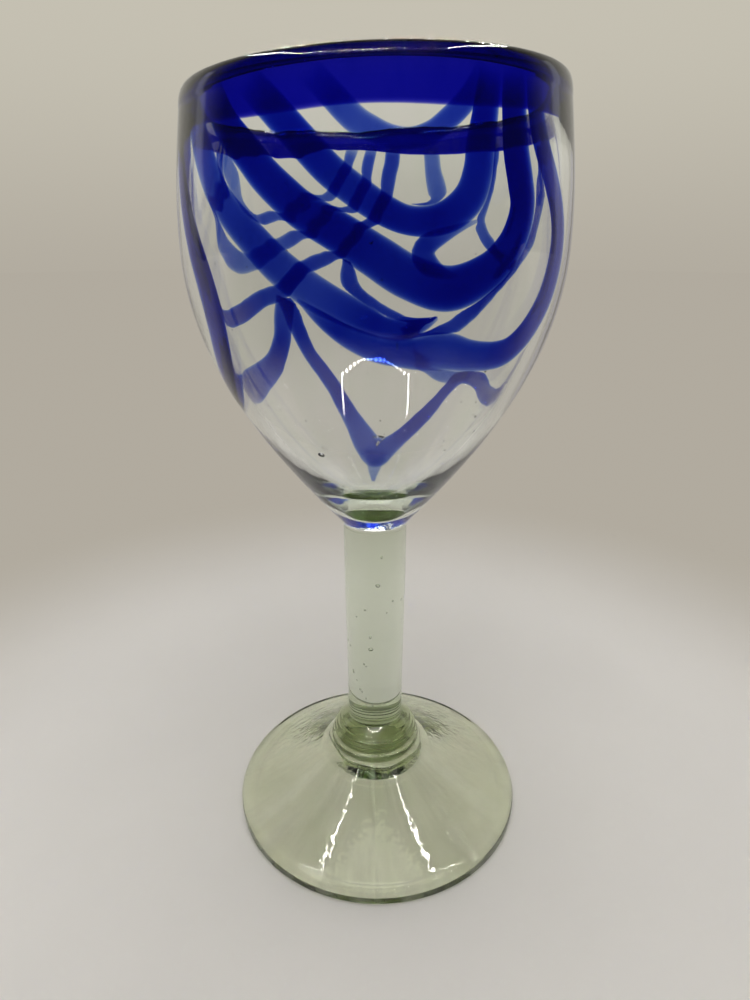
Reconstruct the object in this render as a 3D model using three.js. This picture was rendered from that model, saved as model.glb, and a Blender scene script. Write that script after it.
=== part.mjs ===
// A hand-blown goblet: a conical foot, a ringed knop, a solid stem, and a bowl with a coloured lip and
// looping coloured trails laid over its outside. Each gather of glass is its own closed solid.
import * as THREE from "three";

// Driving dimensions in millimetres. Heights run up from the table, radii out from the goblet's axis.

// Foot: a hollow cone with a rounded edge, standing on a narrow flat ring.
const FOOT_RADIUS = 39.6;
const FOOT_EDGE_THICKNESS = 3.2;
const FOOT_REST_WIDTH = 2.5;
const FOOT_RISE = 18.6;
const FOOT_SEAT_RADIUS = 13.2;
const FOOT_SAG = 0.7;
const FOOT_CROWN_THICKNESS = 4;
const FOOT_HOLLOW_RADIUS = 12;

// Pontil mark: the scar of glass left under the foot where the working iron was broken away.
const PONTIL_RADIUS = 6.4;
const PONTIL_THICKNESS = 1.4;
const PONTIL_DISH = 0.5;

// Knop: a bulb over one thin ring, between the foot and the stem.
const KNOP_HEIGHT = 8.1;
const KNOP_BULB_RADIUS = 11.4;
const KNOP_RING_RADIUS = 12.3;
const KNOP_RING_HEIGHT = 1.9;
const KNOP_GROOVE_DEPTH = 0.7;

// Stem: a solid rod that swells a little towards the bowl.
const STEM_LENGTH = 57.2;
const STEM_LOWER_RADIUS = 7.4;
const STEM_UPPER_RADIUS = 7.9;

// Bowl, measured from its base on the stem up to the top of the lip.
const BOWL_HEIGHT = 95.2;
const BELLY_HEIGHT = 65.2;
const BELLY_RADIUS = 40.8;
const LIP_RADIUS = 38;
const WALL_THICKNESS = 3;
const FLOOR_THICKNESS = 5.2;

// How far each curve of the bowl runs on along its tangent before it turns.
const BASE_RUN = 25.6;
const BELLY_LOWER_RUN = 24.4;
const BELLY_UPPER_RUN = 9.3;
const LIP_RUN = 13.5;
const FLOOR_RUN = 13.8;
const BELLY_INNER_RUN = 26.6;
const BASE_FLARE_ANGLE = 41;
const LIP_LEAN_ANGLE = 8.7;

// Lip wrap: the ring of coloured glass that makes the drinking edge.
const LIP_WRAP_HEIGHT = 9;

// Trails: ribbons of coloured glass, domed across their width.
const TRAIL_THICKNESS = 0.8;
const TRAIL_STEP = 4;

// Gap left between two gathers of glass that meet.
const JOINT_GAP = 0.3;

// Counts of faces round and along the curves.
const BOWL_SIDES = 48;
const STEM_SIDES = 32;
const CURVE_STEPS = 12;
const LIP_STEPS = 4;
const ARC_STEPS = 5;
const TRAIL_END_STEPS = 3;
const TRAIL_CROWN_STEPS = 4;
const HALVINGS = 40;

// Heights where one piece ends and the next begins.
const knopBase = FOOT_RISE + JOINT_GAP;
const knopTop = knopBase + KNOP_HEIGHT;
const stemBase = knopTop + JOINT_GAP;
const stemTop = stemBase + STEM_LENGTH;
const bowlBase = stemTop + JOINT_GAP;
const bellyHeight = bowlBase + BELLY_HEIGHT;
const lipTop = bowlBase + BOWL_HEIGHT;
const lipRound = WALL_THICKNESS / 2;
const lipEdge = lipTop - lipRound;
const wrapBase = lipTop - LIP_WRAP_HEIGHT;
const wallTop = wrapBase - JOINT_GAP;

// Each trail's route: points of angle in degrees round the bowl, and hundredths of the way down the wall
// from the lip's edge to the base.
const TRAILS = [
  {
    name: "trail_front_upper",
    width: 3.2,
    route: [
      [-18, 0.5], [-13, 4.8], [-8, 9], [-2, 12.3], [6, 13.3], [13, 12], [19.5, 8.5], [22.5, 3.7], [23.5, 0.5],
    ],
  },
  {
    name: "trail_front_middle",
    width: 4.2,
    route: [
      [-34, 0.5], [-29, 4.8], [-23.3, 9], [-15.5, 14.4], [-6, 19.4], [2, 23.5], [10, 25.9], [17, 25.5],
      [22.5, 22.9], [25.5, 18.7], [26.5, 13.3], [27.5, 8], [29.5, 3], [30.5, 0.5],
    ],
  },
  {
    name: "trail_front_lower",
    width: 4.6,
    route: [
      [-46, 0.5], [-39, 9], [-31, 14.4], [-24.4, 19.7], [-15.6, 25.1], [-4.4, 30.4], [6, 34.7], [18, 37.9],
      [28, 35], [34, 31.2], [37, 27.2], [38, 23.5], [37, 19.7], [35.5, 15], [35, 9.6], [36, 4], [38, 0.5],
    ],
  },
  {
    name: "trail_front_link",
    width: 1.6,
    route: [[19, 29.5], [14, 30], [11.8, 31.3], [12.6, 32.4]],
  },
  {
    name: "trail_hem_upper",
    width: 3.2,
    route: [
      [-56, 0.5], [-51, 9], [-47, 14.4], [-43, 19.2], [-36, 25], [-29.4, 29.7], [-22.8, 34.3], [-14, 39],
      [-5, 41.9], [4, 43.8], [11.7, 43.3], [15, 42.5],
    ],
  },
  {
    name: "trail_hem_lower",
    width: 3.6,
    route: [
      [-4, 46.5], [4, 48.3], [11, 49.3], [20, 48], [30, 49.9], [40, 50.3], [50, 46], [56.3, 35.8],
      [57.5, 30.4], [54.8, 25.1], [51, 21.3], [45.5, 14.4], [43.3, 9], [45.5, 0.5],
    ],
  },
  {
    name: "trail_left",
    width: 4.4,
    route: [
      [-68, 0.5], [-66, 8], [-63, 14.4], [-57, 24.5], [-50, 32.6], [-47, 41.1], [-49, 49.6], [-56, 59.2],
      [-68, 64], [-82, 64.8], [-104, 64.6], [-115, 64.6], [-126, 60.9], [-134, 55.2],
    ],
  },
  {
    name: "trail_back_upper",
    width: 2.6,
    route: [
      [189.5, 0.5], [190, 6], [191.7, 10.6], [194.5, 15], [199, 18.7], [207, 20.3], [216, 21.3], [225, 23.5],
      [232, 22.4], [237.5, 19.2], [240, 13.3], [242, 6], [243, 0.5],
    ],
  },
  {
    name: "trail_back_middle",
    width: 2.6,
    route: [
      [181, 0.5], [182, 6], [184, 12.3], [185, 17.6], [190, 21.3], [198, 22.9], [206, 25.6], [213, 28.3],
      [222, 29.9], [230, 32.6], [238, 34.7], [246, 33.6], [250, 28.3], [251, 19.7], [252, 9], [254, 0.5],
    ],
  },
  {
    name: "trail_back_lower",
    width: 2.8,
    route: [
      [173, 0.5], [174, 7], [175, 13.7], [174.3, 17.6], [176, 21.9], [182, 27.8], [190, 31.5], [198, 34.1],
      [206, 36.8], [214, 40.5], [221.5, 43.2], [230.6, 44.5], [239.4, 47.2], [250.6, 49.1], [258, 49.3],
      [266, 47], [273, 41.1], [278, 32.6], [280, 21.9], [281, 9], [282, 0.5],
    ],
  },
  {
    name: "trail_back_hook",
    width: 2.4,
    route: [
      [158, 0.5], [157.5, 8], [157.3, 13.3], [154.8, 19.2], [154, 24], [157, 28.8], [162.5, 31.2],
      [165, 33.4], [162.5, 35.8], [157, 37.2], [150, 38.3],
    ],
  },
  {
    name: "trail_back_chevron",
    width: 2.6,
    route: [
      [126, 0.5], [127, 9], [129, 13.3], [133, 18.1], [137.5, 22.4], [139.3, 24.8], [137, 27.4],
      [131.7, 30.8], [126, 34.2],
    ],
  },
  {
    name: "trail_back_side",
    width: 2.8,
    route: [
      [95, 0.5], [97, 9], [98, 16.5], [101, 24], [105.5, 30.4], [111, 35.8], [120.6, 41.1], [131.7, 47.9],
      [142.8, 53], [151, 54.3], [160, 53.3], [172, 50.7], [183, 47.3], [189.4, 44.3], [192.6, 40.6],
      [191.7, 36.8],
    ],
  },
  {
    name: "trail_back_deep",
    width: 3.2,
    route: [
      [76, 0.5], [77, 9], [77, 21.9], [76, 34.7], [78, 47.5], [84, 57.6], [95, 63.9], [101.7, 65.6],
      [118, 65.3], [133, 65.8], [140, 72.3], [150, 78.4], [160, 82.7], [170, 85.4], [182, 86.2], [189, 83],
      [195, 79.2], [201.7, 71.6], [207, 65.6], [211.7, 58.2], [214, 51.8],
    ],
  },
];

// Curves of the bowl's outside, both climbing: from the base to the belly, and from the belly to the lip.
const baseFlare = THREE.MathUtils.degToRad(BASE_FLARE_ANGLE);
const lipLean = THREE.MathUtils.degToRad(LIP_LEAN_ANGLE);
const lowerWall = new THREE.CubicBezierCurve(
  new THREE.Vector2(STEM_UPPER_RADIUS, bowlBase),
  new THREE.Vector2(
    STEM_UPPER_RADIUS + BASE_RUN * Math.sin(baseFlare),
    bowlBase + BASE_RUN * Math.cos(baseFlare),
  ),
  new THREE.Vector2(BELLY_RADIUS, bellyHeight - BELLY_LOWER_RUN),
  new THREE.Vector2(BELLY_RADIUS, bellyHeight),
);
const upperWall = new THREE.CubicBezierCurve(
  new THREE.Vector2(BELLY_RADIUS, bellyHeight),
  new THREE.Vector2(BELLY_RADIUS, bellyHeight + BELLY_UPPER_RUN),
  new THREE.Vector2(LIP_RADIUS + LIP_RUN * Math.sin(lipLean), lipTop - LIP_RUN * Math.cos(lipLean)),
  new THREE.Vector2(LIP_RADIUS, lipTop),
);

// The bowl's outside at one height: its radius, and how fast that radius grows with height.
function wallAt(height) {
  const curve = height < bellyHeight ? lowerWall : upperWall;
  let low = 0;
  let high = 1;
  for (let step = 0; step < HALVINGS; step += 1) {
    const middle = (low + high) / 2;
    if (curve.getPoint(middle).y < height) low = middle;
    else high = middle;
  }
  const tangent = curve.getTangent(low);
  return { radius: curve.getPoint(low).x, slope: tangent.x / tangent.y };
}

// Points down one stretch of the upper wall, moved in by a wall's thickness or not at all.
function upperWallPoints(from, to, inset, steps) {
  const points = [];
  for (let step = 0; step <= steps; step += 1) {
    const height = THREE.MathUtils.lerp(from, to, step / steps);
    points.push(new THREE.Vector2(wallAt(height).radius - inset, height));
  }
  return points;
}

// Points on a circular arc, with angles in degrees from the outward direction.
function arcPoints(radius, height, size, from, to) {
  const points = [];
  for (let step = 0; step <= ARC_STEPS; step += 1) {
    const angle = THREE.MathUtils.degToRad(THREE.MathUtils.lerp(from, to, step / ARC_STEPS));
    points.push(new THREE.Vector2(radius + size * Math.cos(angle), height + size * Math.sin(angle)));
  }
  return points;
}

// A solid of revolution about the goblet's axis. Profiles run outwards along the underside, then up.
function turned(profile, sides) {
  const geometry = new THREE.LatheGeometry(profile, sides);
  geometry.rotateX(Math.PI / 2);
  return geometry;
}

function footGeometry() {
  const edgeRound = FOOT_EDGE_THICKNESS / 2;
  const edgeCentre = FOOT_RADIUS - edgeRound;
  const hollowTop = FOOT_RISE - FOOT_CROWN_THICKNESS;
  const coneEdge = new THREE.Vector2(edgeCentre, FOOT_EDGE_THICKNESS);
  const coneTop = new THREE.Vector2(FOOT_SEAT_RADIUS, FOOT_RISE);
  const coneDip = coneEdge.clone().lerp(coneTop, 0.5);
  coneDip.y -= 2 * FOOT_SAG;
  const hollowEdge = new THREE.Vector2(edgeCentre - FOOT_REST_WIDTH, 0);
  const hollowCrown = new THREE.Vector2(FOOT_HOLLOW_RADIUS, hollowTop);
  const hollowDip = hollowEdge.clone().lerp(hollowCrown, 0.5);
  hollowDip.y -= 2 * FOOT_SAG;
  const cone = new THREE.QuadraticBezierCurve(coneEdge, coneDip, coneTop);
  const hollow = new THREE.QuadraticBezierCurve(hollowCrown, hollowDip, hollowEdge);
  return turned(
    [
      new THREE.Vector2(0, hollowTop),
      ...hollow.getPoints(CURVE_STEPS / 2),
      ...arcPoints(edgeCentre, edgeRound, edgeRound, -90, 90),
      ...cone.getPoints(CURVE_STEPS / 2).slice(1),
      new THREE.Vector2(0, FOOT_RISE),
    ],
    BOWL_SIDES,
  );
}

function pontilGeometry() {
  const top = FOOT_RISE - FOOT_CROWN_THICKNESS - JOINT_GAP;
  const rimRound = PONTIL_THICKNESS / 2;
  const rimCentre = PONTIL_RADIUS - rimRound;
  return turned(
    [
      new THREE.Vector2(0, top - PONTIL_THICKNESS + PONTIL_DISH),
      ...arcPoints(rimCentre, top - rimRound, rimRound, -90, 90),
      new THREE.Vector2(0, top),
    ],
    STEM_SIDES,
  );
}

function knopGeometry() {
  const ringRound = KNOP_RING_HEIGHT / 2;
  const ringCentre = KNOP_RING_RADIUS - ringRound;
  const groove = new THREE.Vector2(KNOP_BULB_RADIUS - KNOP_GROOVE_DEPTH, knopBase + KNOP_RING_HEIGHT);
  const neck = new THREE.Vector2(STEM_LOWER_RADIUS, knopTop);
  const bulbRise = (neck.y - groove.y) / 2;
  const bulb = new THREE.CubicBezierCurve(
    groove,
    new THREE.Vector2(KNOP_BULB_RADIUS + KNOP_GROOVE_DEPTH, groove.y + bulbRise / 2),
    new THREE.Vector2(KNOP_BULB_RADIUS, neck.y - bulbRise),
    neck,
  );
  return turned(
    [
      new THREE.Vector2(0, knopBase),
      ...arcPoints(ringCentre, knopBase + ringRound, ringRound, -90, 90).slice(0, -1),
      ...bulb.getPoints(CURVE_STEPS / 2),
      new THREE.Vector2(0, knopTop),
    ],
    STEM_SIDES,
  );
}

function stemGeometry() {
  const swell = new THREE.CubicBezierCurve(
    new THREE.Vector2(STEM_LOWER_RADIUS, stemBase),
    new THREE.Vector2(STEM_LOWER_RADIUS, stemBase + STEM_LENGTH / 2),
    new THREE.Vector2(STEM_UPPER_RADIUS, stemTop - STEM_LENGTH / 2),
    new THREE.Vector2(STEM_UPPER_RADIUS, stemTop),
  );
  return turned(
    [new THREE.Vector2(0, stemBase), ...swell.getPoints(CURVE_STEPS / 2), new THREE.Vector2(0, stemTop)],
    STEM_SIDES,
  );
}

function bowlGeometry() {
  const innerBelly = BELLY_RADIUS - WALL_THICKNESS;
  const floor = bowlBase + FLOOR_THICKNESS;
  const hollow = new THREE.CubicBezierCurve(
    new THREE.Vector2(innerBelly, bellyHeight),
    new THREE.Vector2(innerBelly, bellyHeight - BELLY_INNER_RUN),
    new THREE.Vector2(FLOOR_RUN, floor),
    new THREE.Vector2(0, floor),
  );
  return turned(
    [
      new THREE.Vector2(0, bowlBase),
      ...lowerWall.getPoints(CURVE_STEPS),
      ...upperWallPoints(bellyHeight, wallTop, 0, LIP_STEPS).slice(1),
      ...upperWallPoints(wallTop, bellyHeight, WALL_THICKNESS, LIP_STEPS),
      ...hollow.getPoints(CURVE_STEPS).slice(1),
    ],
    BOWL_SIDES,
  );
}

function lipWrapGeometry() {
  const edgeRadius = wallAt(lipEdge).radius;
  const outside = upperWallPoints(wrapBase, lipEdge, 0, LIP_STEPS);
  return turned(
    [
      ...outside,
      ...arcPoints(edgeRadius - lipRound, lipEdge, lipRound, 0, 180).slice(1),
      ...upperWallPoints(lipEdge, wrapBase, WALL_THICKNESS, LIP_STEPS).slice(1),
      outside[0],
    ],
    BOWL_SIDES,
  );
}

// A trail's section: points of a dome, then the middle of its flat back, as shares of half its width and
// of its thickness.
function trailSection() {
  const points = [];
  for (let step = 0; step <= TRAIL_CROWN_STEPS; step += 1) {
    const angle = (Math.PI * step) / TRAIL_CROWN_STEPS;
    points.push(new THREE.Vector2(Math.cos(angle), Math.sin(angle)));
  }
  points.push(new THREE.Vector2(0, 0));
  return points;
}

// How far along a trail each section stands, and its share of the full size: both ends are rounded.
function trailStations(length, width) {
  const end = Math.min(width, length / 4);
  const rise = [];
  for (let step = 1; step <= TRAIL_END_STEPS; step += 1) {
    const angle = (Math.PI / 2) * (step / TRAIL_END_STEPS);
    rise.push({ along: end * (1 - Math.cos(angle)), size: Math.sin(angle) });
  }
  const middle = [];
  const count = Math.ceil((length - 2 * end) / TRAIL_STEP);
  for (let step = 1; step < count; step += 1) {
    middle.push({ along: THREE.MathUtils.lerp(end, length - end, step / count), size: 1 });
  }
  const fall = rise.map(({ along, size }) => ({ along: length - along, size })).reverse();
  return [...rise, ...middle, ...fall];
}

// A point off the bowl's outside at an angle and height, lifted along the wall's normal.
function offWall(angle, height, lift) {
  const { radius, slope } = wallAt(height);
  const steepness = Math.hypot(1, slope);
  const reach = radius + lift / steepness;
  return new THREE.Vector3(
    reach * Math.sin(angle),
    -reach * Math.cos(angle),
    height - (lift * slope) / steepness,
  );
}

// A closed ribbon laid over the outside of the bowl and lip along its route.
function trailGeometry(route, width) {
  const unrolled = route.map(([angle, drop]) => {
    const round = THREE.MathUtils.degToRad(angle) * BELLY_RADIUS;
    return new THREE.Vector3(round, THREE.MathUtils.lerp(lipEdge, bowlBase, drop / 100), 0);
  });
  const line = new THREE.CatmullRomCurve3(unrolled);
  const length = line.getLength();
  const section = trailSection();
  const tip = (share) => {
    const point = line.getPointAt(share);
    return offWall(point.x / BELLY_RADIUS, point.y, JOINT_GAP);
  };
  const points = [tip(0)];
  const stations = trailStations(length, width);
  for (const { along, size } of stations) {
    const centre = line.getPointAt(along / length);
    const heading = line.getTangentAt(along / length);
    const { radius, slope } = wallAt(centre.y);
    const steepness = Math.hypot(1, slope);
    const travel = new THREE.Vector2((heading.x * radius) / BELLY_RADIUS, heading.y * steepness).normalize();
    for (const share of section) {
      const aside = (share.x * size * width) / 2;
      const angle = centre.x / BELLY_RADIUS - (travel.y * aside) / radius;
      const height = centre.y + (travel.x * aside) / steepness;
      points.push(offWall(angle, height, JOINT_GAP + share.y * size * TRAIL_THICKNESS));
    }
  }
  points.push(tip(1));
  return new THREE.BufferGeometry()
    .setFromPoints(points)
    .setIndex(ribbonFaces(stations.length, section.length));
}

// Triangles of a ribbon whose points are one tip, rings of equal size, and the other tip.
function ribbonFaces(rings, size) {
  const faces = [];
  const last = rings * size + 1;
  for (let point = 0; point < size; point += 1) {
    const next = (point + 1) % size;
    faces.push(0, 1 + next, 1 + point);
    for (let ring = 0; ring < rings - 1; ring += 1) {
      const near = 1 + ring * size;
      const far = near + size;
      faces.push(near + point, far + next, far + point);
      faces.push(near + point, near + next, far + next);
    }
    faces.push(last, last - size + point, last - size + next);
  }
  return faces;
}

const clearGlass = () => new THREE.MeshStandardMaterial({ color: 0xd6ddd0, roughness: 0.04, metalness: 0 });
const greenGlass = () => new THREE.MeshStandardMaterial({ color: 0xa9b391, roughness: 0.05, metalness: 0 });
const cobaltGlass = () => new THREE.MeshStandardMaterial({ color: 0x141f8c, roughness: 0.06, metalness: 0 });
const roughGlass = () => new THREE.MeshStandardMaterial({ color: 0x98a382, roughness: 0.45, metalness: 0 });

function piece(name, geometry, material) {
  const mesh = new THREE.Mesh(geometry, material);
  mesh.name = name;
  return mesh;
}

const goblet = new THREE.Group();
goblet.add(
  piece("foot", footGeometry(), greenGlass()),
  piece("pontil_mark", pontilGeometry(), roughGlass()),
  piece("knop", knopGeometry(), greenGlass()),
  piece("stem", stemGeometry(), clearGlass()),
  piece("bowl", bowlGeometry(), clearGlass()),
  piece("lip_wrap", lipWrapGeometry(), cobaltGlass()),
);
for (const { name, width, route } of TRAILS) {
  goblet.add(piece(name, trailGeometry(route, width), cobaltGlass()));
}

export default goblet;
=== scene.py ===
"""Looks of a hand-blown goblet: clear bowl and stem, green knop and foot, cobalt lip and looping trails."""

import math

import bpy
import numpy as np
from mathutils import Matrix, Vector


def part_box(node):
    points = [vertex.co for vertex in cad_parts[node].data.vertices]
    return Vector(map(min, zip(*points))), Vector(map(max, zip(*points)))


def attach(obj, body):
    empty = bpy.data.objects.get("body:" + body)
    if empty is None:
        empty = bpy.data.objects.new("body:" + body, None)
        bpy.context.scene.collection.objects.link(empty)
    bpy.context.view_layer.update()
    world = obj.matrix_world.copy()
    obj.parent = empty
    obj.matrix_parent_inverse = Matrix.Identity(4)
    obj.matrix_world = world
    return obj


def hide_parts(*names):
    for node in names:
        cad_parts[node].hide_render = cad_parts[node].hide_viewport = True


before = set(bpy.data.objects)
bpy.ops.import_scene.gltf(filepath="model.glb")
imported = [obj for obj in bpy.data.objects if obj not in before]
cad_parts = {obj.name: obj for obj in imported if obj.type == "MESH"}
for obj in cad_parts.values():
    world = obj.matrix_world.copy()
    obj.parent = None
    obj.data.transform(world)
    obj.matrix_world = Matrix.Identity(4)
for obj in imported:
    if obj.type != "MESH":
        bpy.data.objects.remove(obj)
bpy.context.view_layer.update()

bl_info = {
    "name": "Trailed Goblet",
    "version": (1, 0, 0),
    "blender": (4, 5, 0),
    "location": "View3D > Sidebar > Goblet",
    "description": "Builds the glass of a trailed goblet, its floor and its light over the packed frame",
    "category": "Object",
}

BODY = "root"
MM = 0.001
JOINT_MASK = "joint"
SEED = 7

# Half the gap between fused faces, the clear glass over the colour, and the room over the lip for its lean.
HAIRLINE = 0.01 * MM
SKIN = 0.08 * MM
LIP_ROOM = 0.7 * MM

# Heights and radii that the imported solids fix, in metres.
BOWL_BASE = (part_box("bowl")[0].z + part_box("stem")[1].z) / 2
STEM_BASE = (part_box("stem")[0].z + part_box("knop")[1].z) / 2
KNOP_BASE = (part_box("knop")[0].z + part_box("foot")[1].z) / 2
PONTIL_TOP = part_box("pontil_mark")[1].z
LIP_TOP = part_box("lip_wrap")[1].z - LIP_ROOM
BELLY_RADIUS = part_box("bowl")[1].x
STEM_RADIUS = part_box("stem")[1].x
KNOP_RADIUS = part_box("knop")[1].x
FOOT_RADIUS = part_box("foot")[1].x
PONTIL_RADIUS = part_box("pontil_mark")[1].x

# Each trail: the thickness laid at its first and last point in millimetres, then its points.
# A point is an angle round the bowl in degrees from the front, a height and a width in millimetres.
TRAILS = {
    "trail_front_upper": (0.75, 0.75, [
        (-15.7, 176, 4), (-12.5, 173.9, 4), (-9.4, 171.8, 4.1), (-4.6, 168.6, 4.1), (-1, 167.2, 3.8),
        (3.5, 166, 3.4), (8, 165.7, 3.2), (12.8, 166.6, 3.4), (17.2, 168.7, 3.5), (20.6, 170.7, 3.5),
        (23.4, 172.9, 3.5), (26.5, 176, 3.4),
    ]),
    "trail_front_middle": (1.2, 1.45, [
        (-32.4, 176, 4.8), (-27.8, 173.2, 5), (-23.3, 170.4, 5.1), (-15.3, 165, 5.1), (-10, 161.4, 5),
        (-3.2, 157.9, 4.9), (2, 155.6, 4.7), (7.2, 154.1, 4.5), (12.8, 153.9, 4.8), (18, 155, 5.4),
        (22.3, 157.6, 5.8), (24.4, 161.4, 5.8), (25, 165, 5.7), (26.1, 169, 5), (28, 176, 4.2),
    ]),
    "trail_front_lower": (1.35, 1.7, [
        (-45, 176, 5.4), (-39, 170, 5.6), (-31, 164.7, 5.8), (-26.4, 161.4, 5.9), (-20.5, 157.9, 6),
        (-16.4, 155.7, 6.1), (-7.2, 152, 6.4), (0, 148.8, 6.8), (8, 145.4, 7.2), (18, 143.4, 7.6),
        (28, 145.7, 7), (34, 149.3, 6.6), (37, 153, 6.4), (38, 156.5, 6.2), (37, 160, 6.2), (35.5, 164.5, 6),
        (35, 169.5, 5.6), (35, 176, 5),
    ]),
    "trail_front_link": (1.4, 1.4, [
        (24.5, 153.9, 0.5), (20, 152.9, 1.4), (15.6, 151.7, 2.6), (12.2, 150.5, 3.6), (11, 148.9, 4),
        (12.6, 147.2, 3.6), (16.5, 145.8, 1.8), (20, 145.4, 0.5),
    ]),
    "trail_hem_upper": (0.7, 1, [
        (-56, 176, 5), (-51, 170, 5.8), (-47, 165, 6.2), (-43, 160.5, 6), (-39.4, 157.5, 5.8),
        (-36, 155.2, 6), (-29.4, 151.1, 6.2), (-22.8, 147, 6.4), (-14, 142.8, 6.2), (-3.9, 139.2, 5.2),
        (1.7, 137.4, 4), (7.2, 136.8, 3.8), (12, 137.6, 2.4), (15.6, 138.7, 0.6),
    ]),
    "trail_hem_lower": (0.9, 1, [
        (-19, 142, 0.6), (-14, 139.2, 2.6), (-9, 136.7, 3.8), (-3.9, 134.8, 4.6), (1.7, 133.4, 5.2),
        (7.2, 132.9, 5.8), (11.5, 132.6, 6.4), (15.6, 132.8, 7.4), (20, 132.5, 7.2), (24.5, 131.8, 6.4),
        (29.5, 131.3, 6), (35, 131.1, 5.9), (40.6, 131.6, 6.2), (46.1, 133.9, 6.6), (50.6, 137.4, 7),
        (53.6, 141.2, 7.2), (55.4, 146.5, 7), (55.6, 151.3, 6.4), (53.6, 155.6, 5.6), (50, 160, 5.2),
        (45, 165.5, 4.8), (43, 170, 4.6), (42, 176, 4.4),
    ]),
    "trail_left": (1.4, 0.75, [
        (-66, 176, 4.4), (-63, 165, 5), (-58.5, 156.5, 5.8), (-54.9, 151, 6.6), (-51.8, 146, 7.2),
        (-50.4, 141.5, 7.6), (-50.4, 137, 7.6), (-52.7, 131.5, 7.4), (-58.5, 125.5, 7.2), (-68, 120.4, 7.2),
        (-82, 117.8, 7.8), (-95, 117.3, 8.6), (-109, 117.9, 7.6), (-122.6, 119.8, 6.4), (-132.2, 124.3, 5.8),
        (-137.1, 130.3, 6.4), (-140.6, 135.4, 6.2),
    ]),
    "trail_back_upper": (0.6, 0.5, [
        (188.5, 176, 3.2), (189.3, 173.2, 3.2), (190.8, 170.3, 2.9), (192.7, 167.4, 3), (195, 164.6, 3),
        (198.8, 161.7, 3), (204, 160.3, 2.9), (212, 159.3, 3), (219, 158, 3.2), (226, 156.5, 3.2),
        (231.2, 156.2, 3), (236.4, 157.8, 4), (239.5, 160.5, 5), (241.4, 163.2, 6), (243.6, 167.4, 6.4),
        (247, 171.6, 6.4), (251, 176, 6),
    ]),
    "trail_back_middle": (0.6, 0.5, [
        (181, 176, 3.2), (181.6, 173.2, 3.2), (182.7, 170.3, 3.4), (183.5, 167.4, 3.4), (185, 163.8, 3.4),
        (187.6, 160.2, 3.1), (192, 158.2, 2.7), (197, 157.2, 2.6), (204, 155.2, 3.2), (211.8, 152.4, 4),
        (215.7, 151, 4.2), (224, 148.4, 4.8), (234.4, 146.2, 6.4), (241.5, 146.4, 7), (247.6, 149.8, 6.2),
        (249.8, 154.2, 5.2), (250.2, 158.5, 4.6), (250.5, 163.5, 4.4), (252, 169.5, 4.4), (253, 176, 4.4),
    ]),
    "trail_back_lower": (0.9, 1.05, [
        (172.5, 176, 4.1), (173.3, 170.3, 4.1), (174.4, 167.4, 4.1), (175.7, 163.2, 4), (178.4, 158.8, 3.6),
        (183.3, 154.6, 3.2), (190, 150.6, 3.4), (196, 147.6, 3.8), (200.8, 145.8, 4.2), (205, 144.8, 4.6),
        (212, 142, 4.8), (218, 139, 5), (223.4, 137, 5), (231.2, 135.9, 4.8), (237.7, 134.5, 5),
        (244.1, 133.2, 5), (250.6, 132.6, 4.8), (258, 132.4, 4.4), (266, 134.5, 4), (273, 140, 3.6),
        (278, 148, 3.4), (280, 158, 3.2), (281, 170, 3), (282, 176, 3),
    ]),
    "trail_back_hook": (0.5, 0.5, [
        (158.5, 176, 4.2), (157.6, 171.6, 4.4), (157.1, 167.4, 4.8), (156, 164.1, 5.4), (155, 161.4, 5),
        (156.6, 159.4, 3.4), (161, 158.6, 2.2), (166, 158.6, 0.8),
    ]),
    "trail_back_chevron": (0.6, 0.6, [
        (129, 176, 3.6), (130.5, 170, 3.6), (131.9, 167.4, 3.6), (133.1, 163.2, 3.6), (135.2, 159.1, 3.6),
        (137, 156, 3.6), (136.6, 153.8, 3.6), (133.8, 150.8, 3.5), (129, 148, 3.4), (124, 145.5, 3),
    ]),
    "trail_back_side": (0.95, 0.85, [
        (95, 176, 4), (97, 170, 4.4), (101.5, 163, 5.8), (106.3, 156.5, 7), (111.3, 151, 7),
        (116.6, 146.4, 6.6), (124, 141, 6), (133, 133.4, 5), (143, 127.6, 4.6), (151, 125.7, 4.4),
        (160, 126.2, 4.2), (172, 129.2, 4.2), (180, 131.9, 4.4), (187, 135.2, 4.8), (190, 138, 5),
        (190.9, 141, 5), (190.2, 144.5, 4.2), (189.5, 147.5, 2.8),
    ]),
    "trail_back_deep": (1.1, 0.95, [
        (76, 176, 3.6), (77, 170, 3.6), (77, 158, 3.6), (76, 146, 3.6), (75.5, 132, 4), (77, 122.5, 4.4),
        (81.5, 117, 4.8), (88, 115, 4.8), (95, 114.5, 4.8), (104, 114.6, 4.8), (114.4, 116.4, 4.8),
        (124.8, 117, 4.8), (131, 115.9, 4.4),
        (135.5, 112.7, 4), (144, 106.9, 4.4), (154.5, 102, 4.8), (164.9, 98.8, 6), (172.3, 97.4, 8.5),
        (180, 96.8, 10.5), (187.2, 98.8, 8.5), (193.4, 102.6, 6.6), (199.3, 107.3, 5.2), (204.9, 113, 4.8),
        (213.2, 120.7, 4.6), (216.8, 127.4, 5.2), (218, 132, 6.2), (219.4, 135.8, 6),
    ]),
}

# Short side strands, written as the trails are, by the trail that they leave.
STRANDS = {
    "trail_back_deep": [
        (0.35, 0.15, [(179, 97, 7), (180.6, 94, 5), (181.8, 91.5, 3.4), (183, 88.6, 1)]),
        (0.45, 0.45, [
            (126, 117, 3), (134, 116.2, 4.4), (140, 116.2, 4.6), (147, 116.8, 4.4), (154.5, 118.6, 3.4),
            (161, 121, 0.8)]),
    ],
}

# Least and greatest radius of the seeds in the glass, in metres.
SEED_RADII = (0.12 * MM, 0.3 * MM)


def length(name, description, millimetres):
    """A length that the panel shows."""
    return bpy.props.FloatProperty(
        name=name, description=description, default=millimetres * MM, unit="LENGTH")


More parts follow.
